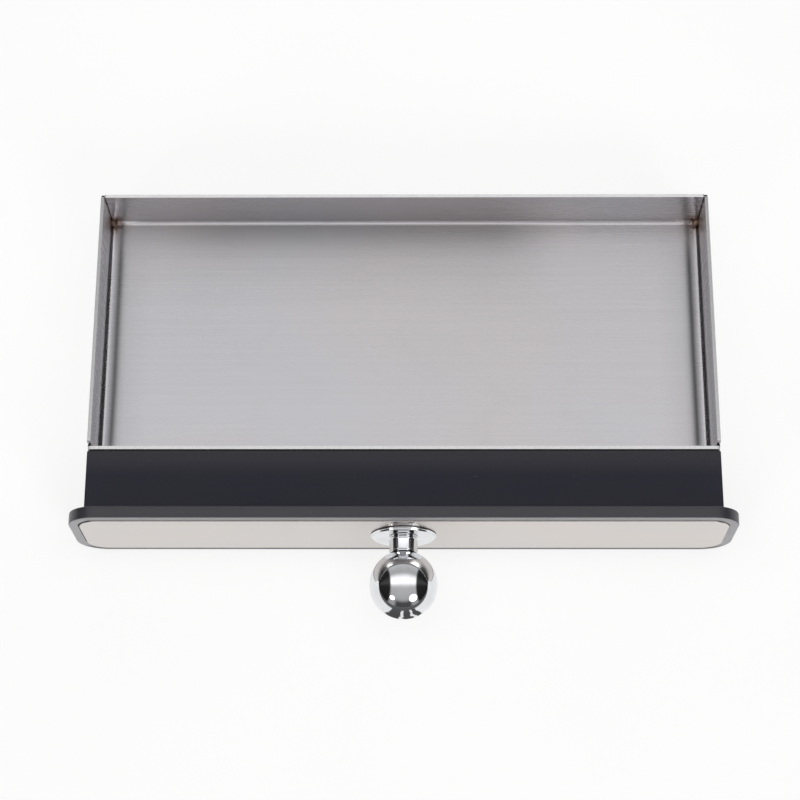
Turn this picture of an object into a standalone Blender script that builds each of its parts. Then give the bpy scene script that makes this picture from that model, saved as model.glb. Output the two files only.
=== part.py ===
"""Pull-out tray: a folded stainless pan behind a black spacer block, a black bezel with a brushed
inlay plate, and a chrome ball knob held by one screw from behind the bezel.

Metres, +Z up, the knob towards -Y. The origin lies under the middle of the object's box, level with
the bezel's lower edge, which is the lowest thing on the object.
"""

import math

import bmesh
import bpy
from mathutils import Matrix, Vector

MM = 0.001
UP = Vector((0.0, 0.0, 1.0))
FACING_FRONT = math.radians(90)  # turns a piece's own +Z to -Y
FACING_REAR = math.radians(-90)  # turns a piece's own +Z to +Y

# Clearance left between pieces that touch
GAP = 0.3 * MM
PAN_TO_BLOCK = 0.4 * MM

# Folded pan
PAN_WIDTH = 281.0 * MM
PAN_DEPTH = 124.5 * MM
PAN_HEIGHT = 28.5 * MM
SHEET = 1.5 * MM
BEND_RADIUS = 2.75 * MM  # at the middle of the sheet
BEND_STEPS = 5
SEAM_GAP = 0.3 * MM
REAR_CORNER_CUT = 0.8 * MM
FRONT_CORNER_CUT = 2.6 * MM

# Weld beads at the pan's corners
WELD_BLOB_RADIUS = 1.4 * MM
WELD_BEAD_RADIUS = 0.55 * MM
REAR_BEAD_HEIGHT = 25.0 * MM
FRONT_BEAD_HEIGHT = 23.0 * MM

# Spacer block
BLOCK_WIDTH = 280.6 * MM
BLOCK_DEPTH = 28.8 * MM
BLOCK_WALL = 3.0 * MM
BLOCK_EDGE = 0.8 * MM
BLOCK_REAR_CORNER = 1.0 * MM
CELL_COUNT = 11
RIB = 2.6 * MM

# Bezel and its inlay
BEZEL_WIDTH = 293.6 * MM
BEZEL_HEIGHT = 50.0 * MM
BEZEL_THICKNESS = 5.4 * MM
BEZEL_CORNER = 13.5 * MM
BEZEL_RIM = 4.2 * MM
BEZEL_EDGE = 0.4 * MM
INLAY_GAP = 0.4 * MM
PLATE_THICKNESS = 1.5 * MM
PLATE_PROUD = 0.5 * MM
TAPE_THICKNESS = 0.6 * MM
TAPE_WIDTH = 9.0 * MM
TAPE_LENGTH = 262.0 * MM
TAPE_OFFSET = 13.5 * MM
CORNER_STEPS = 8

# Knob, with heights measured out from the face plate
ROSE_RADIUS = 14.5 * MM
ROSE_FACE_RADIUS = 14.1 * MM
ROSE_SHOULDER = 0.6 * MM
ROSE_THICKNESS = 1.6 * MM
ROSE_EDGE = 0.6 * MM
COLLAR_RADIUS = 5.85 * MM
COLLAR_THICKNESS = 0.7 * MM
NECK_BASE_RADIUS = 6.45 * MM
NECK_WAIST_RADIUS = 6.2 * MM
NECK_END_RADIUS = 6.35 * MM
NECK_RING = 1.0 * MM
NECK_GROOVE = 0.2 * MM
FINE_EDGE = 0.25 * MM
BALL_RADIUS = 15.1 * MM
BALL_CENTRE = 22.8 * MM
BALL_FLAT_RADIUS = 6.0 * MM
BALL_BORE_DEPTH = 13.0 * MM
ROUND_STEPS = 40
BALL_RINGS = 16
NECK_STEPS = 6

# Fasteners: shank radius, head radius, head height, shank length
BEZEL_SCREW = (1.5 * MM, 2.75 * MM, 1.25 * MM, 11.5 * MM)
TRAY_SCREW = (2.0 * MM, 3.8 * MM, 2.2 * MM, 9.6 * MM)
KNOB_SCREW = (2.5 * MM, 4.6 * MM, 2.8 * MM, 24.0 * MM)
HEX_SOCKET_SHARE = 0.42  # of the head's radius
HEX_DEPTH_SHARE = 0.6  # of the head's height
HEAD_DOME_SHARE = 0.6  # of the head's height
BEZEL_INSERT_RADIUS = 2.7 * MM
BEZEL_INSERT_LENGTH = 6.5 * MM
INSERT_GROOVE_DEPTH = 0.4 * MM
BEZEL_POST_RADIUS = 4.6 * MM
TRAY_INSERT_RADIUS = 3.3 * MM
TRAY_INSERT_LENGTH = 7.5 * MM
TRAY_BOSS_RADIUS = 5.4 * MM
TRAY_BOSS_LENGTH = 9.5 * MM
TRAY_WASHER_RADIUS = 4.5 * MM
KNOB_WASHER_RADIUS = 6.0 * MM
WASHER_THICKNESS = 0.9 * MM
SPRING_WASHER_RADIUS = 4.4 * MM
SPRING_WASHER_SPLIT = 0.8 * MM
FASTENER_STEPS = 16

# Levels and stations that follow from the sizes above
KNOB_REACH = BALL_CENTRE + BALL_RADIUS
KNOB_Z = BEZEL_HEIGHT / 2
PAN_BOTTOM_Z = (BEZEL_HEIGHT - PAN_HEIGHT) / 2
PAN_RIM_Z = PAN_BOTTOM_Z + PAN_HEIGHT
TOTAL_LENGTH = (
    KNOB_REACH + PLATE_PROUD + BEZEL_THICKNESS + GAP + BLOCK_DEPTH + PAN_TO_BLOCK + PAN_DEPTH
)
PLATE_FACE_Y = -TOTAL_LENGTH / 2 + KNOB_REACH
BEZEL_FRONT_Y = PLATE_FACE_Y + PLATE_PROUD
BEZEL_BACK_Y = BEZEL_FRONT_Y + BEZEL_THICKNESS
BLOCK_FRONT_Y = BEZEL_BACK_Y + GAP
BLOCK_REAR_Y = BLOCK_FRONT_Y + BLOCK_DEPTH
PAN_FRONT_Y = BLOCK_REAR_Y + PAN_TO_BLOCK
PAN_CENTRE_Y = PAN_FRONT_Y + PAN_DEPTH / 2
POCKET_DEPTH = PLATE_THICKNESS - PLATE_PROUD + GAP + TAPE_THICKNESS + GAP
POCKET_FLOOR_Y = BEZEL_FRONT_Y + POCKET_DEPTH
CELL_PITCH = (BLOCK_WIDTH - 2 * BLOCK_WALL + RIB) / CELL_COUNT
NECK_START = ROSE_THICKNESS + GAP + COLLAR_THICKNESS + GAP
BALL_FLAT = BALL_CENTRE - math.sqrt(BALL_RADIUS**2 - BALL_FLAT_RADIUS**2)
NECK_END = BALL_FLAT - GAP
BEZEL_SCREW_X = (-4.5 * CELL_PITCH, -2.5 * CELL_PITCH, 2.5 * CELL_PITCH, 4.5 * CELL_PITCH)
TRAY_SCREW_X = (-3.5 * CELL_PITCH, -1.5 * CELL_PITCH, 1.5 * CELL_PITCH, 3.5 * CELL_PITCH)

# Colour, roughness, metallic
FINISHES = {
    "brushed_sheet": ((0.56, 0.55, 0.54), 0.38, 1.0),
    "weld_metal": ((0.42, 0.34, 0.28), 0.5, 1.0),
    "black_block": ((0.035, 0.034, 0.037), 0.5, 0.0),
    "black_bezel": ((0.045, 0.045, 0.05), 0.42, 0.0),
    "brushed_plate": ((0.68, 0.66, 0.63), 0.32, 1.0),
    "tape": ((0.8, 0.79, 0.74), 0.8, 0.0),
    "chrome": ((0.8, 0.81, 0.83), 0.06, 1.0),
    "brass": ((0.72, 0.52, 0.24), 0.35, 1.0),
    "screw_steel": ((0.5, 0.5, 0.51), 0.3, 1.0),
}


def clear_scene():
    for obj in list(bpy.data.objects):
        bpy.data.objects.remove(obj, do_unlink=True)


def new_collection(name):
    made = bpy.data.collections.new(name)
    bpy.context.scene.collection.children.link(made)
    return made


def finish_material(name):
    found = bpy.data.materials.get(name)
    if found:
        return found
    colour, roughness, metallic = FINISHES[name]
    made = bpy.data.materials.new(name)
    made.use_nodes = True
    shader = made.node_tree.nodes["Principled BSDF"]
    shader.inputs["Base Color"].default_value = (*colour, 1.0)
    shader.inputs["Roughness"].default_value = roughness
    shader.inputs["Metallic"].default_value = metallic
    made.diffuse_color = (*colour, 1.0)
    return made


def object_from(name, bm, where):
    mesh = bpy.data.meshes.new(name)
    bmesh.ops.recalc_face_normals(bm, faces=bm.faces)
    bm.to_mesh(mesh)
    bm.free()
    made = bpy.data.objects.new(name, mesh)
    where.objects.link(made)
    return made


def part_from(name, bm, finish):
    made = object_from(name, bm, PARTS)
    made.data.materials.append(finish_material(finish))
    return made


def cutter_from(name, bm):
    made = object_from(name, bm, CUTTERS)
    made.hide_render = True
    made.display_type = "WIRE"
    return made


def cut(target, cutter, operation="DIFFERENCE"):
    boolean = target.modifiers.new(cutter.name, "BOOLEAN")
    boolean.operation = operation
    boolean.solver = "EXACT"
    boolean.object = cutter


def bevel(target, width, segments):
    made = target.modifiers.new("edges", "BEVEL")
    made.width = width
    made.segments = segments
    made.limit_method = "ANGLE"
    made.angle_limit = math.radians(50)


def box(bm, low, high):
    low, high = Vector(low), Vector(high)
    size = high - low
    place = Matrix.Translation((low + high) / 2) @ Matrix.Diagonal((*size, 1.0))
    return bmesh.ops.create_cube(bm, size=1.0, matrix=place)["verts"]


def rod(bm, radius, start, length, segments=FASTENER_STEPS):
    """A cylinder along +Y from the point start."""
    middle = Vector(start) + Vector((0.0, length / 2, 0.0))
    place = Matrix.Translation(middle) @ Matrix.Rotation(FACING_FRONT, 4, "X")
    bmesh.ops.create_cone(
        bm, cap_ends=True, segments=segments, radius1=radius, radius2=radius, depth=length, matrix=place
    )


def rods(name, radius, xs, y, length):
    bm = bmesh.new()
    for x in xs:
        rod(bm, radius, (x, y, KNOB_Z), length)
    return cutter_from(name, bm)


def rounded_slab(bm, width, height, front_y, back_y, radius):
    """An upright slab facing -Y, centred on the knob's axis, with round corners."""
    verts = box(
        bm,
        (-width / 2, front_y, KNOB_Z - height / 2),
        (width / 2, back_y, KNOB_Z + height / 2),
    )
    edges = {e for v in verts for e in v.link_edges}
    across = [e for e in edges if abs(e.verts[0].co.y - e.verts[1].co.y) > GAP]
    bmesh.ops.bevel(
        bm, geom=across, offset=radius, segments=CORNER_STEPS, profile=0.5, affect="EDGES"
    )


def arc(centre, radius, start_deg, end_deg, steps):
    """Points (radius from the axis, height) along an arc in a turned profile."""
    points = []
    for i in range(steps + 1):
        angle = math.radians(start_deg + (end_deg - start_deg) * i / steps)
        points.append((centre[0] + radius * math.cos(angle), centre[1] + radius * math.sin(angle)))
    return points


def profile_mesh(points, closed):
    bm = bmesh.new()
    verts = [bm.verts.new((r, 0.0, h)) for r, h in points]
    pairs = list(zip(verts, verts[1:]))
    if closed:
        pairs.append((verts[-1], verts[0]))
    for first, second in pairs:
        bm.edges.new((first, second))
    return bm


def turn(obj, steps):
    screw = obj.modifiers.new("turn", "SCREW")
    screw.axis = "Z"
    screw.angle = math.tau
    screw.steps = steps
    screw.render_steps = steps
    screw.use_merge_vertices = True
    screw.merge_threshold = 0.000001
    screw.use_smooth_shade = True


def turned(name, points, finish, closed=False, steps=ROUND_STEPS):
    """A profile that runs down its outer side, turned about its own Z."""
    made = part_from(name, profile_mesh(points, closed), finish)
    turn(made, steps)
    return made


def ring_profile(outer, inner, low, high, edge=0.0):
    return [
        (inner, high),
        (outer - edge, high),
        (outer, high - edge),
        (outer, low + edge),
        (outer - edge, low),
        (inner, low),
    ]


def copies(name, master, places):
    """One part for each place, all with the master's finished shape; the master is removed."""
    graph = bpy.context.evaluated_depsgraph_get()
    shape = bpy.data.meshes.new_from_object(master.evaluated_get(graph))
    bpy.data.objects.remove(master)
    for i, place in enumerate(places, start=1):
        made = bpy.data.objects.new(f"{name}_{i}" if len(places) > 1 else name, shape)
        made.matrix_world = place
        PARTS.objects.link(made)


def facing(x, y, angle):
    """Places a turned piece on a Y-parallel axis at the knob's level."""
    return Matrix.Translation((x, y, KNOB_Z)) @ Matrix.Rotation(angle, 4, "X")


def place_facing_front(obj, y):
    obj.location = (0.0, y, KNOB_Z)
    obj.rotation_euler = (FACING_FRONT, 0.0, 0.0)


# Pan


def fold_wall(bm, edge, outward, corner_cuts):
    """Bends the sheet up along a floor edge, raises the wall and laps its ends over the corners.

    corner_cuts gives the rounding of the wall's upper corners at its low and high end.
    """
    floor_z = edge.verts[0].co.z
    pivot = edge.verts[0].co + UP * BEND_RADIUS
    bent = bmesh.ops.spin(
        bm,
        geom=[edge, *edge.verts],
        cent=pivot,
        axis=outward.cross(UP),
        angle=math.radians(90),
        steps=BEND_STEPS,
    )["geom_last"]
    bend_top = [g for g in bent if isinstance(g, bmesh.types.BMEdge)]
    raised = bmesh.ops.extrude_edge_only(bm, edges=bend_top)["geom"]
    top = [g for g in raised if isinstance(g, bmesh.types.BMVert)]
    wall_height = PAN_RIM_Z - floor_z - BEND_RADIUS
    bmesh.ops.translate(bm, verts=top, vec=UP * wall_height)
    wall = next(g for g in raised if isinstance(g, bmesh.types.BMFace))
    along = UP.cross(outward)
    middle = wall.calc_center_median()
    lap = BEND_RADIUS - SHEET / 2 - SEAM_GAP
    upright = [e for e in wall.edges if abs(e.verts[0].co.z - e.verts[1].co.z) > GAP]
    for end in upright:
        side = 1.0 if (end.verts[0].co - middle).dot(along) > 0 else -1.0
        made = bmesh.ops.extrude_edge_only(bm, edges=[end])["geom"]
        moved = [g for g in made if isinstance(g, bmesh.types.BMVert)]
        bmesh.ops.translate(bm, verts=moved, vec=along * side * lap)
        corner = max(moved, key=lambda v: v.co.z)
        radius = corner_cuts[0] if side < 0 else corner_cuts[1]
        bmesh.ops.bevel(bm, geom=[corner], offset=radius, segments=4, profile=0.5, affect="VERTICES")


def make_pan():
    bm = bmesh.new()
    inset = SHEET + 2 * BEND_RADIUS
    floor_z = PAN_BOTTOM_Z + SHEET / 2
    place = Matrix.Translation((0.0, PAN_CENTRE_Y, floor_z)) @ Matrix.Diagonal(
        (PAN_WIDTH - inset, PAN_DEPTH - inset, 1.0, 1.0)
    )
    bmesh.ops.create_grid(bm, x_segments=1, y_segments=1, size=0.5, matrix=place)
    rear, front = REAR_CORNER_CUT, FRONT_CORNER_CUT
    cuts = {
        (1, 0): (front, rear),
        (-1, 0): (rear, front),
        (0, 1): (rear, rear),
        (0, -1): (rear, rear),
    }
    centre = Vector((0.0, PAN_CENTRE_Y, floor_z))
    floor_edges = list(bm.edges)
    for edge in floor_edges:
        away = (edge.verts[0].co + edge.verts[1].co) / 2 - centre
        outward = Vector((0.0, 0.0, 0.0))
        axis = 0 if abs(edge.verts[0].co.x - edge.verts[1].co.x) < GAP else 1
        outward[axis] = math.copysign(1.0, away[axis])
        key = (round(outward.x), round(outward.y))
        fold_wall(bm, edge, outward, cuts[key])
    pan = part_from("tray_pan", bm, "brushed_sheet")
    skin = pan.modifiers.new("sheet", "SOLIDIFY")
    skin.thickness = SHEET
    skin.offset = 0.0
    skin.use_even_offset = True
    holes = rods(
        "tray_screw_holes", TRAY_SCREW[0] + GAP, TRAY_SCREW_X, PAN_FRONT_Y - SHEET, 3 * SHEET
    )
    cut(pan, holes)
    return pan


def make_weld(name, side_x, side_y, bead_height):
    """A blob in the corner relief, and a bead that runs up the outside of the seam from it."""
    blob_inset = (BEND_RADIUS + SHEET / 2) / 2
    blob_z = PAN_BOTTOM_Z + blob_inset
    x = side_x * (PAN_WIDTH / 2 - blob_inset)
    y = PAN_CENTRE_Y + side_y * (PAN_DEPTH / 2 - blob_inset)
    bm = bmesh.new()
    place = Matrix.Translation((x, y, blob_z))
    bmesh.ops.create_uvsphere(bm, u_segments=12, v_segments=8, radius=WELD_BLOB_RADIUS, matrix=place)
    weld = part_from(name, bm, "weld_metal")
    bead_inset = (SHEET + SEAM_GAP) / 2
    x = side_x * (PAN_WIDTH / 2 - bead_inset)
    y = PAN_CENTRE_Y + side_y * (PAN_DEPTH / 2 - bead_inset)
    bm = bmesh.new()
    bmesh.ops.create_cone(
        bm,
        cap_ends=True,
        segments=8,
        radius1=WELD_BEAD_RADIUS,
        radius2=WELD_BEAD_RADIUS,
        depth=bead_height,
        matrix=Matrix.Translation((x, y, blob_z + bead_height / 2)),
    )
    cut(weld, cutter_from(name + "_bead", bm), "UNION")


def make_welds():
    ends = (("rear", 1, REAR_BEAD_HEIGHT), ("front", -1, FRONT_BEAD_HEIGHT))
    for rear_or_front, side_y, bead_height in ends:
        for left_or_right, side_x in (("left", -1), ("right", 1)):
            make_weld(f"weld_{rear_or_front}_{left_or_right}", side_x, side_y, bead_height)


# Block


def block_cells():
    """Pockets open towards the bezel, with a rib between each two."""
    bm = bmesh.new()
    for i in range(CELL_COUNT):
        x = (i - (CELL_COUNT - 1) / 2) * CELL_PITCH
        half = (CELL_PITCH - RIB) / 2
        box(
            bm,
            (x - half, BLOCK_FRONT_Y - BLOCK_WALL, PAN_BOTTOM_Z + BLOCK_WALL),
            (x + half, BLOCK_REAR_Y - BLOCK_WALL, PAN_RIM_Z - BLOCK_WALL),
        )
    return cutter_from("block_cells", bm)


def make_block():
    bm = bmesh.new()
    verts = box(
        bm,
        (-BLOCK_WIDTH / 2, BLOCK_FRONT_Y, PAN_BOTTOM_Z),
        (BLOCK_WIDTH / 2, BLOCK_REAR_Y, PAN_RIM_Z),
    )
    edges = {e for v in verts for e in v.link_edges}
    rear_corners = [
        e
        for e in edges
        if abs(e.verts[0].co.z - e.verts[1].co.z) > GAP and e.verts[0].co.y > BLOCK_FRONT_Y + GAP
    ]
    bmesh.ops.bevel(
        bm, geom=rear_corners, offset=BLOCK_REAR_CORNER, segments=4, profile=0.5, affect="EDGES"
    )
    block = part_from("front_block", bm, "black_block")
    bevel(block, BLOCK_EDGE, 2)
    cut(block, block_cells())
    post_length = BLOCK_DEPTH - BLOCK_WALL
    posts = rods("bezel_posts", BEZEL_POST_RADIUS, BEZEL_SCREW_X, BLOCK_FRONT_Y + GAP, post_length)
    cut(block, posts, "UNION")
    boss_y = BLOCK_REAR_Y - BLOCK_WALL / 2 - TRAY_BOSS_LENGTH
    bosses = rods("tray_bosses", TRAY_BOSS_RADIUS, TRAY_SCREW_X, boss_y, TRAY_BOSS_LENGTH)
    cut(block, bosses, "UNION")
    hole = BEZEL_INSERT_RADIUS + GAP
    depth = BEZEL_SCREW[3] + GAP
    cut(block, rods("bezel_insert_holes", hole, BEZEL_SCREW_X, BLOCK_FRONT_Y - GAP, depth))
    hole = TRAY_INSERT_RADIUS + GAP
    depth = TRAY_INSERT_LENGTH + GAP
    holes = rods("tray_insert_holes", hole, TRAY_SCREW_X, BLOCK_REAR_Y - depth, 2 * depth)
    cut(block, holes)
    return block


# Bezel and inlay


def make_bezel():
    bm = bmesh.new()
    rounded_slab(bm, BEZEL_WIDTH, BEZEL_HEIGHT, BEZEL_FRONT_Y, BEZEL_BACK_Y, BEZEL_CORNER)
    bezel = part_from("bezel_frame", bm, "black_bezel")
    bevel(bezel, BEZEL_EDGE, 2)
    bm = bmesh.new()
    rounded_slab(
        bm,
        BEZEL_WIDTH - 2 * BEZEL_RIM,
        BEZEL_HEIGHT - 2 * BEZEL_RIM,
        BEZEL_FRONT_Y - BEZEL_THICKNESS,
        POCKET_FLOOR_Y,
        BEZEL_CORNER - BEZEL_RIM,
    )
    cut(bezel, cutter_from("bezel_pocket", bm))
    for i, x in enumerate(BEZEL_SCREW_X, start=1):
        cut(bezel, countersink(f"countersink_{i}", x))
    cut(bezel, knob_screw_hole("bezel_knob_hole"))
    return bezel


def countersink(name, x):
    outline = screw_profile(BEZEL_SCREW, GAP, countersunk=True)
    sink = cutter_from(name, profile_mesh(outline, closed=False))
    turn(sink, FASTENER_STEPS)
    sink.matrix_world = facing(x, POCKET_FLOOR_Y, FACING_FRONT)
    return sink


def knob_screw_hole(name):
    bm = bmesh.new()
    start = (0.0, BEZEL_FRONT_Y - BEZEL_THICKNESS, KNOB_Z)
    rod(bm, KNOB_SCREW[0] + GAP, start, 3 * BEZEL_THICKNESS)
    return cutter_from(name, bm)


def make_face_plate():
    bm = bmesh.new()
    side = BEZEL_RIM + INLAY_GAP
    rounded_slab(
        bm,
        BEZEL_WIDTH - 2 * side,
        BEZEL_HEIGHT - 2 * side,
        PLATE_FACE_Y,
        PLATE_FACE_Y + PLATE_THICKNESS,
        BEZEL_CORNER - side,
    )
    plate = part_from("face_plate", bm, "brushed_plate")
    cut(plate, knob_screw_hole("plate_knob_hole"))
    return plate


def make_tape():
    y = PLATE_FACE_Y + PLATE_THICKNESS + GAP
    for name, side in (("tape_upper", 1), ("tape_lower", -1)):
        z = KNOB_Z + side * TAPE_OFFSET
        bm = bmesh.new()
        box(
            bm,
            (-TAPE_LENGTH / 2, y, z - TAPE_WIDTH / 2),
            (TAPE_LENGTH / 2, y + TAPE_THICKNESS, z + TAPE_WIDTH / 2),
        )
        part_from(name, bm, "tape")


# Fasteners


def screw_profile(sizes, grow=0.0, countersunk=False):
    """Head up, with the height 0 under a round head or level with a countersunk one."""
    shank, head, head_height, length = sizes
    if countersunk:
        return [
            (0.0, grow),
            (head + grow, grow),
            (head + grow, 0.0),
            (shank + grow, -head_height),
            (shank + grow, -length - grow),
            (0.0, -length - grow),
        ]
    dome_radius = HEAD_DOME_SHARE * head_height
    dome = arc((head - dome_radius, head_height - dome_radius), dome_radius, 90, 0, 4)
    return [
        (0.0, head_height),
        *dome,
        (head, 0.0),
        (shank, 0.0),
        (shank, -length),
        (0.0, -length),
    ]


def socket_cutter(name, sizes, top):
    depth = HEX_DEPTH_SHARE * sizes[2]
    bm = bmesh.new()
    bmesh.ops.create_cone(
        bm,
        cap_ends=True,
        segments=6,
        radius1=sizes[1] * HEX_SOCKET_SHARE,
        radius2=sizes[1] * HEX_SOCKET_SHARE,
        depth=2 * depth,
        matrix=Matrix.Translation((0.0, 0.0, top)),
    )
    return cutter_from(name, bm)


def screws(name, sizes, places, countersunk=False):
    master = turned(
        name + "_master",
        screw_profile(sizes, countersunk=countersunk),
        "screw_steel",
        steps=FASTENER_STEPS,
    )
    top = 0.0 if countersunk else sizes[2]
    cut(master, socket_cutter(name + "_socket", sizes, top))
    copies(name, master, places)


def make_bezel_fasteners():
    head_y = POCKET_FLOOR_Y + GAP
    screws(
        "bezel_screw",
        BEZEL_SCREW,
        [facing(x, head_y, FACING_FRONT) for x in BEZEL_SCREW_X],
        countersunk=True,
    )
    bore = BEZEL_SCREW[0] + GAP
    sleeve = turned(
        "bezel_insert_master",
        insert_profile(BEZEL_INSERT_RADIUS, bore, BEZEL_INSERT_LENGTH),
        "brass",
        closed=True,
        steps=FASTENER_STEPS,
    )
    front_y = BLOCK_FRONT_Y + GAP
    copies("bezel_insert", sleeve, [facing(x, front_y, FACING_FRONT) for x in BEZEL_SCREW_X])


def insert_profile(outer, bore, length):
    """Top at height 0, with a groove round the middle."""
    groove = outer - INSERT_GROOVE_DEPTH
    return [
        (bore, 0.0),
        (outer, 0.0),
        (outer, -0.4 * length),
        (groove, -0.43 * length),
        (groove, -0.57 * length),
        (outer, -0.6 * length),
        (outer, -length),
        (bore, -length),
    ]


def make_tray_fasteners():
    wall_y = PAN_FRONT_Y + SHEET
    washer = turned(
        "tray_washer_master",
        ring_profile(TRAY_WASHER_RADIUS, TRAY_SCREW[0] + GAP, 0.0, WASHER_THICKNESS),
        "screw_steel",
        closed=True,
        steps=FASTENER_STEPS,
    )
    washer_y = wall_y + GAP
    copies("tray_washer", washer, [facing(x, washer_y, FACING_REAR) for x in TRAY_SCREW_X])
    head_y = washer_y + WASHER_THICKNESS + GAP
    screws("tray_screw", TRAY_SCREW, [facing(x, head_y, FACING_REAR) for x in TRAY_SCREW_X])
    sleeve = turned(
        "tray_insert_master",
        insert_profile(TRAY_INSERT_RADIUS, TRAY_SCREW[0] + GAP, TRAY_INSERT_LENGTH),
        "brass",
        closed=True,
        steps=FASTENER_STEPS,
    )
    rear_y = BLOCK_REAR_Y - GAP / 2
    copies("tray_insert", sleeve, [facing(x, rear_y, FACING_REAR) for x in TRAY_SCREW_X])


def make_knob_fasteners():
    bore = KNOB_SCREW[0] + GAP
    washer = turned(
        "knob_washer",
        ring_profile(KNOB_WASHER_RADIUS, bore, 0.0, WASHER_THICKNESS),
        "screw_steel",
        closed=True,
        steps=FASTENER_STEPS,
    )
    washer_y = BEZEL_BACK_Y + GAP
    washer.matrix_world = facing(0.0, washer_y, FACING_REAR)
    spring_y = washer_y + WASHER_THICKNESS + GAP
    spring = turned(
        "knob_spring_washer",
        ring_profile(SPRING_WASHER_RADIUS, bore, 0.0, WASHER_THICKNESS),
        "screw_steel",
        closed=True,
        steps=FASTENER_STEPS,
    )
    spring.matrix_world = facing(0.0, spring_y, FACING_REAR)
    bm = bmesh.new()
    box(
        bm,
        (-SPRING_WASHER_SPLIT / 2, spring_y - GAP, KNOB_Z),
        (
            SPRING_WASHER_SPLIT / 2,
            spring_y + WASHER_THICKNESS + GAP,
            KNOB_Z + 2 * SPRING_WASHER_RADIUS,
        ),
    )
    cut(spring, cutter_from("spring_washer_split", bm))
    head_y = spring_y + WASHER_THICKNESS + GAP
    screws("knob_screw", KNOB_SCREW, [facing(0.0, head_y, FACING_REAR)])


# Knob


def make_rose():
    bore = KNOB_SCREW[0] + GAP
    corner = (ROSE_FACE_RADIUS - ROSE_SHOULDER, ROSE_THICKNESS - ROSE_SHOULDER)
    shoulder = arc(corner, ROSE_SHOULDER, 90, 0, 4)
    points = [
        (bore, ROSE_THICKNESS),
        *shoulder,
        (ROSE_FACE_RADIUS, GAP + ROSE_EDGE),
        (ROSE_RADIUS, GAP + ROSE_EDGE / 2),
        (ROSE_RADIUS, GAP),
        (bore, GAP),
    ]
    rose = turned("knob_rose", points, "chrome", closed=True)
    place_facing_front(rose, PLATE_FACE_Y)


def make_collar():
    low = ROSE_THICKNESS + GAP
    points = ring_profile(
        COLLAR_RADIUS, KNOB_SCREW[0] + GAP, low, low + COLLAR_THICKNESS, FINE_EDGE
    )
    collar = turned("knob_collar", points, "chrome", closed=True)
    place_facing_front(collar, PLATE_FACE_Y)


def make_neck():
    bore = KNOB_SCREW[0] + GAP
    ring_low = NECK_END - NECK_RING
    length = ring_low - NECK_START
    waist = []
    for i in range(NECK_STEPS + 1):
        share = i / NECK_STEPS
        radius = NECK_WAIST_RADIUS + (NECK_BASE_RADIUS - NECK_WAIST_RADIUS) * share**2
        waist.append((radius, ring_low - share * length))
    points = [
        (bore, NECK_END),
        (NECK_END_RADIUS - FINE_EDGE, NECK_END),
        (NECK_END_RADIUS, NECK_END - FINE_EDGE),
        (NECK_END_RADIUS, ring_low + NECK_GROOVE),
        *waist,
        (bore, NECK_START),
    ]
    neck = turned("knob_neck", points, "chrome", closed=True)
    place_facing_front(neck, PLATE_FACE_Y)


def make_ball():
    bore = KNOB_SCREW[0] + GAP
    flat_deg = -math.degrees(math.acos(BALL_FLAT_RADIUS / BALL_RADIUS))
    points = [
        *arc((0.0, BALL_CENTRE), BALL_RADIUS, 90, flat_deg, BALL_RINGS),
        (bore, BALL_FLAT),
        (bore, BALL_FLAT + BALL_BORE_DEPTH),
        (0.0, BALL_FLAT + BALL_BORE_DEPTH),
    ]
    points[0] = (0.0, BALL_CENTRE + BALL_RADIUS)
    ball = turned("knob_ball", points, "chrome")
    place_facing_front(ball, PLATE_FACE_Y)


clear_scene()
PARTS = new_collection("pull_out_tray")
CUTTERS = new_collection("cutters")
make_pan()
make_welds()
make_block()
make_bezel()
make_face_plate()
make_tape()
make_bezel_fasteners()
make_tray_fasteners()
make_knob_fasteners()
make_rose()
make_collar()
make_neck()
make_ball()
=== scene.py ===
"""Looks for the pull-out tray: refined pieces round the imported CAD, procedural materials, a pale studio."""

import math
import random

import bmesh
import bpy
from mathutils import Matrix, Vector, noise


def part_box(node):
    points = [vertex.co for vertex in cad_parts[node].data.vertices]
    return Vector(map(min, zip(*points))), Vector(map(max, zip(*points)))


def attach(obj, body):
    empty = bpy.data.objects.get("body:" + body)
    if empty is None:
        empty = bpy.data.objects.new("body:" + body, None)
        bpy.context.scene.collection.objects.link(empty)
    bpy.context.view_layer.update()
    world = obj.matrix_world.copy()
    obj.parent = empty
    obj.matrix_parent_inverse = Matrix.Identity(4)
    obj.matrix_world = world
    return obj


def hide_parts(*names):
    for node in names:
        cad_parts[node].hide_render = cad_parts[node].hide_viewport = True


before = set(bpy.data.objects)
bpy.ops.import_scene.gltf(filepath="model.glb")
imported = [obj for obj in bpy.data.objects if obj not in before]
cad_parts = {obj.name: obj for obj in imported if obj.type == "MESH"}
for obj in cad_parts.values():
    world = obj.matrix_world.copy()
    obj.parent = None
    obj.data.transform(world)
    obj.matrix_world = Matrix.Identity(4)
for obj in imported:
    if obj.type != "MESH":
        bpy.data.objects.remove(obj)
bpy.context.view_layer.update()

MM = 0.001
UP = Vector((0.0, 0.0, 1.0))
FACING_FRONT = Matrix.Rotation(math.radians(90), 4, "X")  # turns a piece's own +Z to -Y
FACING_REAR = Matrix.Rotation(math.radians(-90), 4, "X")  # turns a piece's own +Z to +Y

SCREWS = (1, 2, 3, 4)
GRAIN_MAP = "grain"  # the UV map of the brush lines
ON_AXIS = 1e-7  # a point of a turned profile with a radius below this is on the axis
NOISE_LOW, NOISE_HIGH = 0.3, 0.7  # a noise lies mostly between these levels

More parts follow.
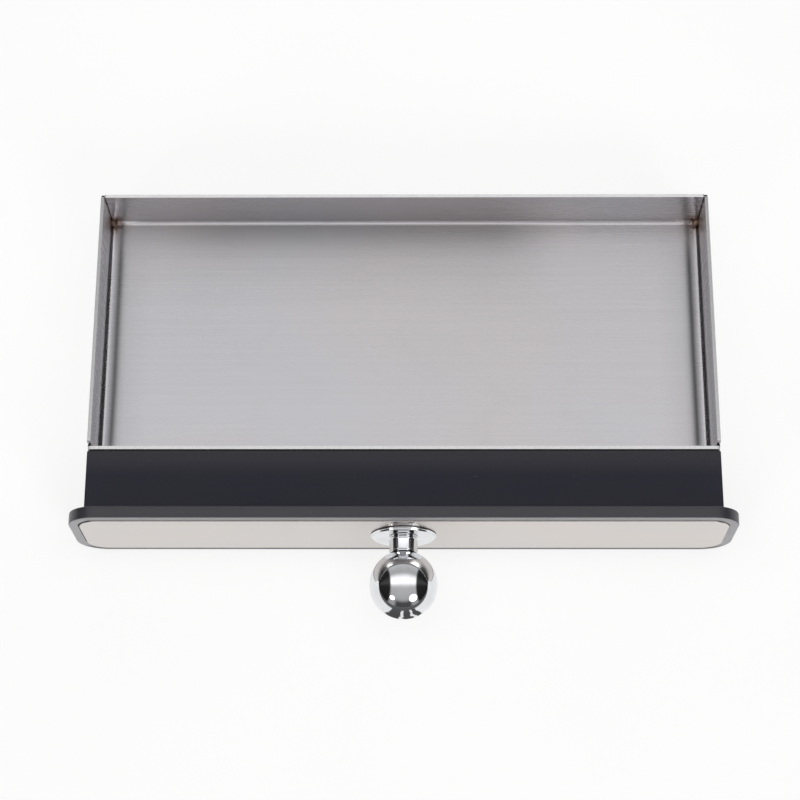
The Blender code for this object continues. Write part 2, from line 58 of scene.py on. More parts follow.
SHEET = 1.5 * MM
BEND_RADIUS = 2.75 * MM  # at the middle of the sheet
BEND_STEPS = 14
CUT_STEPS = 6  # in the rounding of a wall's upper corner
SEAM = 0.05 * MM
BEAD_DEPTH = 0.5 * MM  # how far a wall that runs through stops short of the corner
BEZEL_CORNER = 13.5 * MM
BEZEL_RIM = 4.2 * MM
INLAY_GAP = 0.4 * MM
OFF_CENTRE = 0.18 * MM  # the inlay is laid this far to the right, with a wider gap at its left
KNOB_BORE = 2.8 * MM
CLOSE_UP = 0.25 * MM  # how far the knob's pieces close the CAD's clearance
SNUG = 0.2 * MM  # how far the inlay's long edges close the CAD's clearance
RIM_TILT = 0.11 * MM  # how far the rear rim falls towards the inside

# A painted dark reflection along both sides of the floor: millimetres from the middle of the pan, with the
# share of the sheet's brightness left there
SIDE_DARK_REFLECTION = (
    (118.0, 1.0), (125.0, 0.95), (129.0, 0.91), (131.0, 0.82), (132.0, 0.68), (133.0, 0.42), (133.7, 0.22),
    (134.3, 0.17), (135.0, 0.36), (135.8, 0.58), (136.6, 0.82), (137.4, 1.0), (139.0, 1.0),
)

# Painted shade on the floor: millimetres in front of the rear bend, with the share of the sheet's brightness
# left there
REAR_PAINTED_SHADE = ((0.0, 0.56), (6.0, 0.62), (12.0, 0.76), (18.0, 0.88), (30.0, 0.95), (45.0, 1.0))

PAN_STEEL = (0.625, 0.617, 0.627)
PLATE_STEEL = (0.685, 0.652, 0.622)
SCREW_STEEL = (0.50, 0.50, 0.51)
BRASS = (0.72, 0.52, 0.24)
BLOCK_BLACK = (0.021, 0.0205, 0.029)
BEZEL_BLACK = (0.040, 0.039, 0.047)
BEZEL_FRONT = (0.29, 0.288, 0.30)
BURNT_BROWN = (0.085, 0.05, 0.038, 1.0)
# Near black: partly burnt oxide, partly painted shade in the corner notches
BLACK_OXIDE_AND_NOTCH_SHADE = (0.012, 0.011, 0.011, 1.0)

# Shares of the heat tint's reach round a corner, with the colour that the sheet is multiplied by there
HEAT_TINT = (
    (0.0, (0.16, 0.11, 0.09, 1.0)),
    (0.20, (0.26, 0.18, 0.14, 1.0)),
    (0.30, (0.58, 0.48, 0.42, 1.0)),
    (0.44, (0.80, 0.75, 0.74, 1.0)),
    (0.60, (0.95, 0.91, 0.88, 1.0)),
    (1.0, (1.0, 1.0, 1.0, 1.0)),
)

# Noise levels with the weld's colour there
WELD_TINT = (
    (0.25, (0.07, 0.06, 0.065, 1.0)),
    (0.45, (0.16, 0.10, 0.07, 1.0)),
    (0.6, (0.28, 0.20, 0.15, 1.0)),
    (0.8, (0.42, 0.36, 0.31, 1.0)),
)

# Degrees from the zenith, to the front below 0 and to the rear above 0, with the sky's level there
SKY_LEVELS = (
    (-90, 0.38), (-76, 0.38), (-62, 0.44), (-45, 0.50), (-26, 0.54), (-18, 0.72), (-8, 1.35), (0, 1.58),
    (9, 1.34), (16, 1.02), (20, 0.84), (25, 0.58), (31, 0.47), (42, 0.50), (58, 0.60), (75, 0.90), (90, 0.95),
)

# Each window's direction, the cosines at its edge and where it is full, and its strength
WINDOWS = (
    ((-0.565, -0.75, 0.344), 0.990, 0.9965, 8.0),
    ((0.50, -0.775, 0.37), 0.972, 0.988, 6.0),
)


# Mesh helpers


def middle_of(name):
    low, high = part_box(name)
    return (low + high) / 2


def link(name, mesh):
    made = bpy.data.objects.new(name, mesh)
    bpy.context.scene.collection.objects.link(made)
    return made


def mesh_from(name, bm):
    mesh = bpy.data.meshes.new(name)
    bmesh.ops.recalc_face_normals(bm, faces=bm.faces)
    bm.to_mesh(mesh)
    bm.free()
    return mesh


def boolean(obj, other, operation="DIFFERENCE"):
    made = obj.modifiers.new(operation.lower(), "BOOLEAN")
    made.operation = operation
    made.solver = "EXACT"
    made.object = other
    return other


def soften(obj, width, segments):
    """Rounds every edge that turns by more than 50 degrees."""
    made = obj.modifiers.new("edges", "BEVEL")
    made.width = width
    made.segments = segments
    made.limit_method = "ANGLE"
    made.angle_limit = math.radians(50)
    made.use_clamp_overlap = True


def apply_modifiers(obj):
    graph = bpy.context.evaluated_depsgraph_get()
    result = obj.evaluated_get(graph)
    shape = bpy.data.meshes.new_from_object(result, preserve_all_data_layers=True, depsgraph=graph)
    obj.modifiers.clear()
    obj.data = shape
    return shape


def settle(obj, others=(), sharp_degrees=35):
    """Applies the modifiers, removes the objects they used, and shades smoothly with true flat faces."""
    shape = apply_modifiers(obj)
    for other in others:
        bpy.data.objects.remove(other)
    shape.shade_smooth()
    shape.set_sharp_from_angle(angle=math.radians(sharp_degrees))
    weighted = obj.modifiers.new("normals", "WEIGHTED_NORMAL")
    weighted.keep_sharp = True
    return obj


def outline(width, height, radius, y, middle_z, steps=24):
    """A rounded rectangle facing -Y, as a ring of points that starts at the right end of the top edge."""
    points = []
    centres = ((1, 1, 0), (-1, 1, 90), (-1, -1, 180), (1, -1, 270))
    for side_x, side_z, start in centres:
        centre = (side_x * (width / 2 - radius), middle_z + side_z * (height / 2 - radius))
        points += [Vector((x, y, z)) for x, z in arc(centre, radius, start, start + 90, steps)]
    return points


def quarter(steps):
    """1 - cosine and 1 - sine at each step of a quarter turn."""
    turns = [math.radians(90 * i / steps) for i in range(steps + 1)]
    return [(1 - math.cos(turn), 1 - math.sin(turn)) for turn in turns]


def loft(rings):
    """Joins rings of equally many points with quads, and closes the ends."""
    bm = bmesh.new()
    made = [[bm.verts.new(p) for p in ring] for ring in rings]
    count = len(made[0])
    for low, high in zip(made, made[1:]):
        for i in range(count):
            j = (i + 1) % count
            bm.faces.new((low[i], low[j], high[j], high[i]))
    bm.faces.new(list(reversed(made[0])))
    bm.faces.new(made[-1])
    return bm


def arc(centre, radius, start_deg, end_deg, steps):
    """Points along an arc: in a turned profile, the radius from the axis and the height."""
    points = []
    for i in range(steps + 1):
        angle = math.radians(start_deg + (end_deg - start_deg) * i / steps)
        points.append((centre[0] + radius * math.cos(angle), centre[1] + radius * math.sin(angle)))
    return points


def turned_mesh(name, points, steps, closed):
    """A profile of (radius, height) points turned about +Z. Points on the axis become one vertex."""
    bm = bmesh.new()
    rings = []
    for r, h in points:
        if r < ON_AXIS:
            rings.append([bm.verts.new((0.0, 0.0, h))])
        else:
            ring = []
            for i in range(steps):
                angle = math.tau * i / steps
                ring.append(bm.verts.new((r * math.cos(angle), r * math.sin(angle), h)))
            rings.append(ring)
    pairs = list(zip(rings, rings[1:]))
    if closed:
        pairs.append((rings[-1], rings[0]))
    for low, high in pairs:
        for i in range(steps):
            j = (i + 1) % steps
            corners = [low[i % len(low)], low[j % len(low)], high[j % len(high)], high[i % len(high)]]
            unique = list(dict.fromkeys(corners))
            if len(unique) > 2:
                bm.faces.new(unique)
    return mesh_from(name, bm)


def turned(name, points, place, steps=128, closed=False, sharp_degrees=35):
    made = link(name, turned_mesh(name, points, steps, closed))
    made.data.transform(place)
    return settle(made, sharp_degrees=sharp_degrees)


def rounded_profile(points, radius, steps=3):
    """A closed profile with its corners rounded."""
    most = 0.45  # of an edge's length, so that two roundings on it stay apart
    made = []
    count = len(points)
    for i, p in enumerate(points):
        here = Vector(p)
        before = Vector(points[i - 1])
        after = Vector(points[(i + 1) % count])
        reach = min(radius, (before - here).length * most, (after - here).length * most)
        start = here + (before - here).normalized() * reach
        end = here + (after - here).normalized() * reach
        for k in range(steps + 1):
            t = k / steps
            q = start * (1 - t) ** 2 + here * 2 * t * (1 - t) + end * t**2
            made.append((q.x, q.y))
    return made


def rod_cutter(radius, x, z, low_y, high_y, steps=32):
    points = [(0.0, high_y), (radius, high_y), (radius, low_y), (0.0, low_y)]
    made = link("rod_cutter", turned_mesh("rod_cutter", points, steps, False))
    made.data.transform(Matrix.Translation((x, 0.0, z)) @ FACING_REAR)
    return made


# Node helpers


def material(name, slots):
    made = bpy.data.materials.new(name)
    made.use_nodes = True
    shader = made.node_tree.nodes["Principled BSDF"]
    for key, value in slots.items():
        shader.inputs[key].default_value = value
    return made, made.node_tree, shader


def node(tree, kind, sockets=None, **settings):
    made = tree.nodes.new("ShaderNode" + kind)
    for key, value in settings.items():
        setattr(made, key, value)
    for key, value in (sockets or {}).items():
        if isinstance(value, bpy.types.NodeSocket):
            tree.links.new(value, made.inputs[key])
        else:
            made.inputs[key].default_value = value
    return made


def maths(tree, operation, first, second=0.0, third=None):
    sockets = {0: first, 1: second}
    if third is not None:
        sockets[2] = third
    return node(tree, "Math", sockets, operation=operation).outputs[0]


def remap(tree, value, low, high, to_low=0.0, to_high=1.0, smooth=True):
    made = node(
        tree,
        "MapRange",
        {"Value": value, 1: low, 2: high, 3: to_low, 4: to_high},
        interpolation_type="SMOOTHSTEP" if smooth else "LINEAR",
    )
    return made.outputs[0]


def mix(tree, factor, first, second, blend="MIX"):
    made = node(tree, "Mix", {0: factor, 6: first, 7: second}, data_type="RGBA", blend_type=blend)
    return made.outputs[2]


def scaled(tree, vector, scale):
    return node(tree, "Mapping", {"Vector": vector, "Scale": scale}).outputs[0]


def cloud(tree, vector, scale, detail=3.0, roughness=0.55, distortion=0.0):
    sockets = {"Vector": vector, "Scale": scale, "Detail": detail}
    sockets.update({"Roughness": roughness, "Distortion": distortion})
    return node(tree, "TexNoise", sockets).outputs[0]


def position(tree):
    return node(tree, "TexCoord").outputs["Object"]


def split(tree, vector):
    return node(tree, "SeparateXYZ", {0: vector}).outputs


def bump(tree, height, strength, distance):
    return node(tree, "Bump", {"Strength": strength, "Distance": distance, "Height": height}).outputs[0]


def ramp(tree, value, stops):
    """A colour read from (place, colour) stops, with value and the places from 0 to 1."""
    made = node(tree, "ValToRGB", {0: value})
    elements = made.color_ramp.elements
    for i, (place, colour) in enumerate(stops):
        stop = elements[0] if i == 0 else elements[-1] if i == len(stops) - 1 else elements.new(place)
        stop.position = place
        stop.color = colour
    return made.outputs[0]


def curve(tree, value, stops):
    """A grey level read from (place, level) stops, with value and the places on one scale."""
    low, high = stops[0][0], stops[-1][0]
    shares = [((place - low) / (high - low), (level, level, level, 1.0)) for place, level in stops]
    return ramp(tree, remap(tree, value, low, high, smooth=False), shares)


def distance_to(tree, vector, point):
    made = node(tree, "VectorMath", {0: vector, 1: point}, operation="DISTANCE")
    return made.outputs["Value"]


def size_of(tree, value):
    return maths(tree, "ABSOLUTE", value)


def times(tree, *values):
    """The product of the values."""
    product = values[0]
    for value in values[1:]:
        product = maths(tree, "MULTIPLY", product, value)
    return product


def varied(tree, value, level, amount, low=NOISE_LOW, high=NOISE_HIGH):
    """value, moved by up to amount both ways along with a noise's level."""
    return maths(tree, "MULTIPLY_ADD", remap(tree, level, low, high, -1, 1), amount, value)


def stretched(tree, level, to_low=0.0, to_high=1.0):
    """A noise's level, spread over a range."""
    return remap(tree, level, NOISE_LOW, NOISE_HIGH, to_low, to_high)


def dimmed(tree, colour, level):
    return node(tree, "VectorMath", {0: colour, 3: level}, operation="SCALE").outputs[0]


def shade(base, factor=1.0):
    """A colour times a factor, or times one factor for each channel, with full alpha."""
    factors = factor if isinstance(factor, tuple) else (factor,) * 3
    return tuple(c * f for c, f in zip(base, factors)) + (1.0,)


def surface_normal(tree):
    return split(tree, node(tree, "TexCoord").outputs["Normal"])


def wire(tree, shader, colour=None, roughness=None, relief=None):
    for value, socket in ((colour, "Base Color"), (roughness, "Roughness"), (relief, "Normal")):
        if value is not None:
            tree.links.new(value, shader.inputs[socket])


# Materials


def brushed_metal(name, base, roughness, anisotropic, tint):
    """Sheet steel with brush lines. Its UV map holds metres across the grain in U and along it in V."""
    slots = {"Metallic": 1.0, "Anisotropic": anisotropic, "Roughness": roughness}
    made, tree, shader = material(name, slots)
    lines = node(tree, "UVMap", uv_map=GRAIN_MAP).outputs[0]

    def lay(across, along, detail=2.0, distortion=0.0):
        return cloud(tree, scaled(tree, lines, (across, along, 1.0)), 1.0, detail, distortion=distortion)

    fine = lay(6400.0, 30.0)
    medium = lay(2300.0, 7.0)
    broad = lay(420.0, 1.2)
    patches = lay(14.0, 9.0)
    hue = lay(9.0, 7.0, 1.0, 0.6)

    streak = 1.0
    for level, amount in ((fine, 0.019), (medium, 0.013), (broad, 0.012), (patches, 0.015)):
        streak = varied(tree, streak, level, amount)
    warm = shade(base, (1.03, 0.99, 0.99))
    cool = shade(base, (0.975, 0.995, 1.03))
    tinted = mix(tree, remap(tree, hue, 0.36, 0.64), warm, cool)
    tinted = mix(tree, tint, shade(base), tinted)

    rough = varied(tree, varied(tree, roughness, medium, 0.01), patches, 0.012)
    tangent = node(tree, "Tangent", direction_type="UV_MAP", uv_map=GRAIN_MAP).outputs[0]
    tree.links.new(tangent, shader.inputs["Tangent"])
    wire(tree, shader, roughness=rough, relief=bump(tree, fine, 0.045, 0.04 * MM))
    return made, tree, shader, dimmed(tree, tinted, streak)


def pan_material():
    made, tree, shader, colour = brushed_metal(
        "pan_brushed", PAN_STEEL, roughness=0.275, anisotropic=0.945, tint=0.6
    )
    here = position(tree)
    x, y, _ = split(tree, here)
    facing = surface_normal(tree)
    sideways, lengthways, upwards = size_of(tree, facing[0]), size_of(tree, facing[1]), facing[2]
    low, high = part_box("tray_pan")

    # A painted dark reflection along both sides of the floor, weaker at its ends
    away = maths(tree, "MULTIPLY", size_of(tree, x), 1 / MM)
    waver = cloud(tree, scaled(tree, here, (60.0, 14.0, 1.0)), 1.0, 2.0)
    side_reflection = curve(tree, varied(tree, away, waver, 0.12), SIDE_DARK_REFLECTION)
    share = times(
        tree,
        remap(tree, upwards, 0.3, 0.7),
        remap(tree, y, low.y + 2 * MM, low.y + 14 * MM, 0.5, 1.0),
        remap(tree, y, high.y - 26 * MM, high.y - 6 * MM, 1.0, 0.75),
        remap(tree, x, -100 * MM, 100 * MM, 0.93, 1.0),
    )
    colour = mix(tree, share, colour, dimmed(tree, colour, side_reflection))

    # Painted light: the walls are painted lighter than the floor, the side walls most, and the cross bends
    # carry a painted highlight
    wall_painted_light = times(
        tree,
        remap(tree, upwards, 0.1, 0.35, 1.16, 1.0),
        remap(tree, sideways, 0.6, 0.9, 1.0, 1.09),
    )
    bend = times(tree, remap(tree, lengthways, 0.2, 0.5), remap(tree, upwards, 0.15, 0.4))
    colour = dimmed(tree, colour, maths(tree, "MULTIPLY_ADD", bend, 0.45, wall_painted_light))

    # Painted shade on the floor in front of the rear bend, weaker towards the ends
    ahead = maths(tree, "MULTIPLY_ADD", y, -1 / MM, (high.y - SHEET / 2 - BEND_RADIUS) / MM)
    share = times(
        tree,
        remap(tree, x, 40 * MM, 80 * MM, 1.0, 0.12),
        remap(tree, x, -135 * MM, -80 * MM, 0.45, 1.0),
        remap(tree, upwards, 0.85, 0.98),
    )
    colour = mix(tree, share, colour, dimmed(tree, colour, curve(tree, ahead, REAR_PAINTED_SHADE)))

    # Heat tint round the four corner puddles
    inset, height, tint_reach = 2.6 * MM, 2.8 * MM, 9.5 * MM
    nearest = None
    for corner_y in (low.y + inset, high.y - inset):
        for corner_x in (low.x + inset, high.x - inset):
            spot = distance_to(tree, here, (corner_x, corner_y, low.z + height))
            nearest = spot if nearest is None else maths(tree, "MINIMUM", nearest, spot)
    wobble = cloud(tree, here, 420.0, 3.0)
    nearest = varied(tree, nearest, wobble, 1.1 * MM)
    tint = ramp(tree, remap(tree, nearest, 0.0, tint_reach, smooth=False), HEAT_TINT)
    colour = mix(tree, 1.0, colour, tint, "MULTIPLY")

    # A brown line up the inside of each rear seam
    flat = node(tree, "CombineXYZ", {0: size_of(tree, x), 1: y}).outputs[0]
    seam = distance_to(tree, flat, (high.x - SHEET, high.y - SHEET, 0.0))
    burn = varied(tree, seam, wobble, 0.2 * MM)
    colour = mix(tree, remap(tree, burn, 0.25 * MM, 0.8 * MM, 1.0, 0.0), colour, BURNT_BROWN)

    # Handling marks: faint dull smudges, and sparse hairline scratches across the grain
    smudge = cloud(tree, here, 42.0, 4.0, distortion=0.8)
    colour = mix(tree, remap(tree, smudge, 0.56, 0.72, 0.0, 0.08), colour, (0.50, 0.49, 0.50, 1.0))
    waves = {"Vector": scaled(tree, here, (1.0, 0.35, 1.0)), "Scale": 21.0}
    waves.update({"Distortion": 34.0, "Detail": 2.0, "Detail Scale": 3.0})
    scratch = node(tree, "TexWave", waves, wave_type="BANDS", bands_direction="DIAGONAL").outputs[1]
    gate = cloud(tree, here, 60.0, 2.0)
    hairline = times(tree, remap(tree, scratch, 0.996, 1.0), remap(tree, gate, 0.62, 0.70), 0.12)
    colour = mix(tree, hairline, colour, (0.86, 0.86, 0.87, 1.0))
    wire(tree, shader, colour)
    return made


def plate_material():
    made, tree, shader, colour = brushed_metal(
        "plate_brushed", PLATE_STEEL, roughness=0.25, anisotropic=0.8, tint=0.4
    )
    smudge = cloud(tree, position(tree), 30.0, 4.0, distortion=0.7)
    colour = mix(tree, remap(tree, smudge, 0.55, 0.75, 0.0, 0.08), colour, (0.5, 0.5, 0.52, 1.0))
    wire(tree, shader, colour)
    return made


def cut_edge_material():
    """The sheared rim of the sheet: bright, with fine marks across its thickness, and with painted shade that
    darkens it at the sides.
    """
    made, tree, shader = material("pan_cut_edge", {"Metallic": 1.0, "Roughness": 0.24})
    here = position(tree)
    nicks = cloud(tree, scaled(tree, here, (1500.0, 1500.0, 60.0)), 1.0, 3.0)
    patch = cloud(tree, here, 55.0, 3.0, distortion=0.4)
    colour = mix(tree, stretched(tree, nicks), (0.70, 0.70, 0.70, 1.0), (0.79, 0.785, 0.785, 1.0))
    colour = mix(tree, remap(tree, patch, 0.5, 0.75, 0.0, 0.25), colour, (0.60, 0.59, 0.60, 1.0))
    # Painted shade: the rims along the sides are darker
    side_rim_shade = remap(tree, size_of(tree, split(tree, here)[0]), 138.0 * MM, 139.5 * MM, 1.0, 0.76)
    relief = bump(tree, nicks, 0.15, 0.04 * MM)
    wire(tree, shader, dimmed(tree, colour, side_rim_shade), stretched(tree, patch, 0.2, 0.3), relief)
    return made


def weld_material():
    """Heat-tinted weld metal, black towards the top of the seams: partly burnt oxide, partly painted shade
    for the dark corner notches.
    """
    made, tree, shader = material("weld_heat_tint", {"Metallic": 1.0, "Roughness": 0.42})
    here = position(tree)
    stripes = cloud(tree, scaled(tree, here, (300.0, 300.0, 900.0)), 1.0, 3.0)
    colour = ramp(tree, cloud(tree, here, 420.0, 2.0), WELD_TINT)
    colour = mix(tree, remap(tree, stripes, 0.35, 0.65, 0.0, 0.35), colour, (0.10, 0.09, 0.09, 1.0))
    # Black towards the top of the seams: partly burnt oxide, partly painted shade in the corner notches
    rim_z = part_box("tray_pan")[1].z
    oxide_and_shade = remap(tree, split(tree, here)[2], rim_z - 15 * MM, rim_z - 9 * MM)
    colour = mix(tree, oxide_and_shade, colour, BLACK_OXIDE_AND_NOTCH_SHADE)
    wire(tree, shader, colour, stretched(tree, stripes, 0.32, 0.55), bump(tree, stripes, 0.4, 0.1 * MM))
    return made


def black_material(name, base, roughness, ior, edge, face=None, rear_painted_light=None):
    """Satin black with fine grain, lengthwise streaks, dust and paler worn edges.

    face, if given, is the paler colour of the frontmost faces, with their station; the pale colour fades out
    towards the bottom edge, a painted shade. The rear station, if given, is the one towards which the colour
    grows paler to the rear: painted light, with painted shade and a bluer tone towards the bezel at the
    front.
    """
    made, tree, shader = material(name, {"Roughness": roughness, "IOR": ior})
    here = position(tree)
    _, y, z = split(tree, here)
    grain = cloud(tree, here, 2400.0, 3.0, 0.6)
    fleck = cloud(tree, here, 900.0, 2.0, 0.5)
    streak = cloud(tree, scaled(tree, here, (7.0, 700.0, 700.0)), 1.0, 3.0)
    patch = cloud(tree, here, 26.0, 4.0, distortion=0.5)
    colour = mix(tree, stretched(tree, grain), shade(base, 0.82), shade(base, 1.22))
    colour = mix(tree, remap(tree, streak, 0.45, 0.75, 0.0, 0.15), colour, shade(base, 1.9))
    colour = mix(tree, remap(tree, patch, 0.45, 0.75, 0.0, 0.22), colour, shade(base, 1.6))
    if face:
        paint, station = face
        pale = mix(tree, remap(tree, streak, 0.35, 0.65), shade(paint), shade(paint, 1.15))
        # The pale front fades out towards the bottom edge: painted shade there
        share = times(
            tree,
            remap(tree, surface_normal(tree)[1], -0.55, -0.95),
            remap(tree, z, 3 * MM, 9 * MM),
            remap(tree, y, station + 0.3 * MM, station + 0.6 * MM, 1.0, 0.0),
        )
        colour = mix(tree, share, colour, pale)
    # Painted light and shade: paler towards the rear, darker and bluer towards the bezel at the front
    if rear_painted_light:
        along = remap(tree, y, rear_painted_light - 13 * MM, rear_painted_light - 2 * MM)
        tone = mix(tree, along, (0.50, 0.50, 0.82, 1.0), (1.38, 1.34, 1.26, 1.0))
        colour = mix(tree, 1.0, colour, tone, "MULTIPLY")
    colour = mix(tree, remap(tree, fleck, 0.72, 0.80, 0.0, 0.22), colour, (0.22, 0.22, 0.23, 1.0))
    corner = node(tree, "NewGeometry").outputs["Pointiness"]
    worn = times(tree, remap(tree, corner, 0.53, 0.62), remap(tree, patch, 0.3, 0.6, 0.4, 1.0), edge)
    colour = mix(tree, worn, colour, (0.30, 0.30, 0.32, 1.0))
    rough = varied(tree, varied(tree, roughness, patch, 0.05), streak, 0.04)
    wire(tree, shader, colour, rough, bump(tree, grain, 0.2, 0.05 * MM))
    return made


def chrome_material():
    made, tree, shader = material("chrome_plate", {"Metallic": 1.0, "Roughness": 0.05})
    here = position(tree)
    haze = cloud(tree, here, 160.0, 4.0, distortion=0.6)
    pits = cloud(tree, here, 1900.0, 2.0)
    polish = cloud(tree, scaled(tree, here, (900.0, 60.0, 900.0)), 1.0, 3.0)
    colour = mix(tree, stretched(tree, haze), (0.80, 0.81, 0.83, 1.0), (0.74, 0.745, 0.76, 1.0))
    colour = mix(tree, remap(tree, pits, 0.72, 0.78, 0.0, 0.5), colour, (0.35, 0.35, 0.36, 1.0))
    rough = maths(tree, "ADD", remap(tree, haze, 0.4, 0.75, 0.02, 0.06), stretched(tree, polish, 0.0, 0.02))
    wire(tree, shader, colour, rough, bump(tree, polish, 0.05, 0.01 * MM))
    return made


def turned_metal(name, base, roughness, stain):
    """Lathe-turned hardware: fine rings, handling stains and darker specks."""
    made, tree, shader = material(name, {"Metallic": 1.0, "Roughness": roughness})
    here = position(tree)
    rings = cloud(tree, scaled(tree, here, (300.0, 3800.0, 300.0)), 1.0, 2.0)
    patch = cloud(tree, here, 320.0, 3.0, distortion=0.5)
    specks = cloud(tree, here, 2600.0, 1.0)
    colour = mix(tree, stretched(tree, rings), shade(base, 0.86), shade(base, 1.12))
    colour = mix(tree, remap(tree, patch, 0.48, 0.75, 0.0, 0.5), colour, shade(stain))
    colour = mix(tree, remap(tree, specks, 0.7, 0.78, 0.0, 0.6), colour, (0.08, 0.07, 0.06, 1.0))
    rough = stretched(tree, patch, roughness - 0.06, roughness + 0.1)
    wire(tree, shader, colour, rough, bump(tree, rings, 0.15, 0.04 * MM))
    return made


def tape_material():
    made, tree, shader = material("foam_tape", {"Roughness": 0.85})
    here = position(tree)
    cells = node(tree, "TexVoronoi", {"Vector": here, "Scale": 2600.0}).outputs["Distance"]
    patch = cloud(tree, here, 90.0, 3.0)
    colour = mix(tree, remap(tree, cells, 0.1, 0.6), (0.62, 0.60, 0.55, 1.0), (0.82, 0.80, 0.75, 1.0))
    colour = mix(tree, remap(tree, patch, 0.4, 0.7, 0.0, 0.35), colour, (0.70, 0.66, 0.56, 1.0))
    wire(tree, shader, colour, stretched(tree, patch, 0.78, 0.92), bump(tree, cells, 0.5, 0.1 * MM))
    return made


def dress(obj, made, slot, body, *nodes):
    """Gives a new piece its material and body, in place of its CAD nodes. The slot is not used."""
    obj.data.materials.clear()
    obj.data.materials.append(made)
    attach(obj, body)
    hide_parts(*nodes)


def repaint(names, made):
    """Gives CAD nodes a detailed material."""
    for name in names:
        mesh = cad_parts[name].data
        mesh.materials.clear()
        mesh.materials.append(made)


# Pan


def fold_wall(bm, edge, outward, ends, rim_z):
    """Bends the sheet up along a floor edge, raises the wall and laps its ends over the corners.

    ends holds, for the wall's low and high end, the lap and the rounding of its upper corner.
    """
    floor_z = edge.verts[0].co.z
    pivot = edge.verts[0].co + UP * BEND_RADIUS
    bent = bmesh.ops.spin(
        bm,
        geom=[edge, *edge.verts],
        cent=pivot,
        axis=outward.cross(UP),
        angle=math.radians(90),
        steps=BEND_STEPS,
    )["geom_last"]
    bend_top = [g for g in bent if isinstance(g, bmesh.types.BMEdge)]
    raised = bmesh.ops.extrude_edge_only(bm, edges=bend_top)["geom"]
    top = [g for g in raised if isinstance(g, bmesh.types.BMVert)]
    bmesh.ops.translate(bm, verts=top, vec=UP * (rim_z - floor_z - BEND_RADIUS))
    wall = next(g for g in raised if isinstance(g, bmesh.types.BMFace))
    along = UP.cross(outward)
    middle = wall.calc_center_median()
    upright = [e for e in wall.edges if abs(e.verts[0].co.z - e.verts[1].co.z) > SHEET]
    for end in upright:
        side = 1.0 if (end.verts[0].co - middle).dot(along) > 0 else -1.0
        lap, radius = ends[0] if side < 0 else ends[1]
        made = bmesh.ops.extrude_edge_only(bm, edges=[end])["geom"]
        moved = [g for g in made if isinstance(g, bmesh.types.BMVert)]
        bmesh.ops.translate(bm, verts=moved, vec=along * side * lap)
        corner = max(moved, key=lambda v: v.co.z)
        bend_end = max(end.verts, key=lambda v: v.co.z)
        bmesh.ops.dissolve_edges(bm, edges=[end], use_verts=False)
        bmesh.ops.dissolve_verts(bm, verts=[bend_end])
        rounding = {"offset": radius, "segments": CUT_STEPS, "profile": 0.5, "affect": "VERTICES"}
        bmesh.ops.bevel(bm, geom=[corner], **rounding)


def lay_grain(bm, low, high, floor_z):
    """UVs in metres on the flat sheet: across the brush lines in U, along them in V."""
    layer = bm.loops.layers.uv.new(GRAIN_MAP)
    for face in bm.faces:
        middle = face.calc_center_median()
        over = {
            (1, 0): middle.x - high.x,
            (-1, 0): low.x - middle.x,
            (0, 1): middle.y - high.y,
            (0, -1): low.y - middle.y,
        }
        side = max(over, key=over.get)
        for loop in face.loops:
            p = loop.vert.co
            flat = Vector((p.x, p.y))
            if over[side] > 0:
                axis = 0 if side[0] else 1
                sign = side[axis]
                edge = (high if sign > 0 else low)[axis]
                out = (p[axis] - edge) * sign
                rise = p.z - floor_z
                if rise < BEND_RADIUS:
                    length = BEND_RADIUS * math.atan2(out, BEND_RADIUS - rise)
                else:
                    length = BEND_RADIUS * math.pi / 2 + rise - BEND_RADIUS
                flat[axis] = edge + sign * length
            loop[layer].uv = (flat.y, flat.x)


def make_pan():
    low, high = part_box("tray_pan")
    inset = SHEET / 2 + BEND_RADIUS
    floor_z = low.z + SHEET / 2
    floor_low = Vector((low.x + inset, low.y + inset, floor_z))
    floor_high = Vector((high.x - inset, high.y - inset, floor_z))
    bm = bmesh.new()
    corners = [
        (floor_low.x, floor_low.y),
        (floor_high.x, floor_low.y),
        (floor_high.x, floor_high.y),
        (floor_low.x, floor_high.y),
    ]
    bm.faces.new([bm.verts.new((x, y, floor_z)) for x, y in corners])

    # Each wall end's lap and rounding. The side walls run through at the rear corners. At the front ones
    # the front wall runs through, and the side walls stop short of it, with a notch between them.
    through = inset - BEAD_DEPTH
    butted = inset - SHEET - SEAM
    side_rear, side_front = (through, 1.5 * MM), (0.2 * MM, 1.2 * MM)
    rear, front = (butted, 0.8 * MM), (through, 0.5 * MM)
    ends = {
        (1, 0): (side_front, side_rear),
        (-1, 0): (side_rear, side_front),
        (0, 1): (rear, rear),
        (0, -1): (front, front),
    }
    centre = (floor_low + floor_high) / 2
    for edge in list(bm.edges):
        away = (edge.verts[0].co + edge.verts[1].co) / 2 - centre
        axis = 0 if abs(edge.verts[0].co.x - edge.verts[1].co.x) < SHEET else 1
        outward = Vector((0.0, 0.0, 0.0))
        outward[axis] = math.copysign(1.0, away[axis])
        fold_wall(bm, edge, outward, ends[round(outward.x), round(outward.y)], high.z)
    lay_grain(bm, floor_low, floor_high, floor_z)
    pan = link("pan_sheet", mesh_from("pan_sheet", bm))
    skin = pan.modifiers.new("sheet", "SOLIDIFY")
    skin.thickness = SHEET
    skin.offset = 0.0
    skin.use_even_offset = True
    inner_edge = high.y - SHEET
    for vert in apply_modifiers(pan).vertices:
        if vert.co.z > high.z - SEAM and abs(vert.co.y - inner_edge) < SEAM:
            vert.co.z -= RIM_TILT
    hole_radius = 2.3 * MM
    cutters = []
    for i in SCREWS:
        hole = middle_of(f"tray_screw_{i}")
        rod = rod_cutter(hole_radius, hole.x, hole.z, low.y - SHEET, low.y + 3 * SHEET)
        cutters.append(boolean(pan, rod))
    soften(pan, 0.3 * MM, 4)
    return settle(pan, cutters)


# Welds


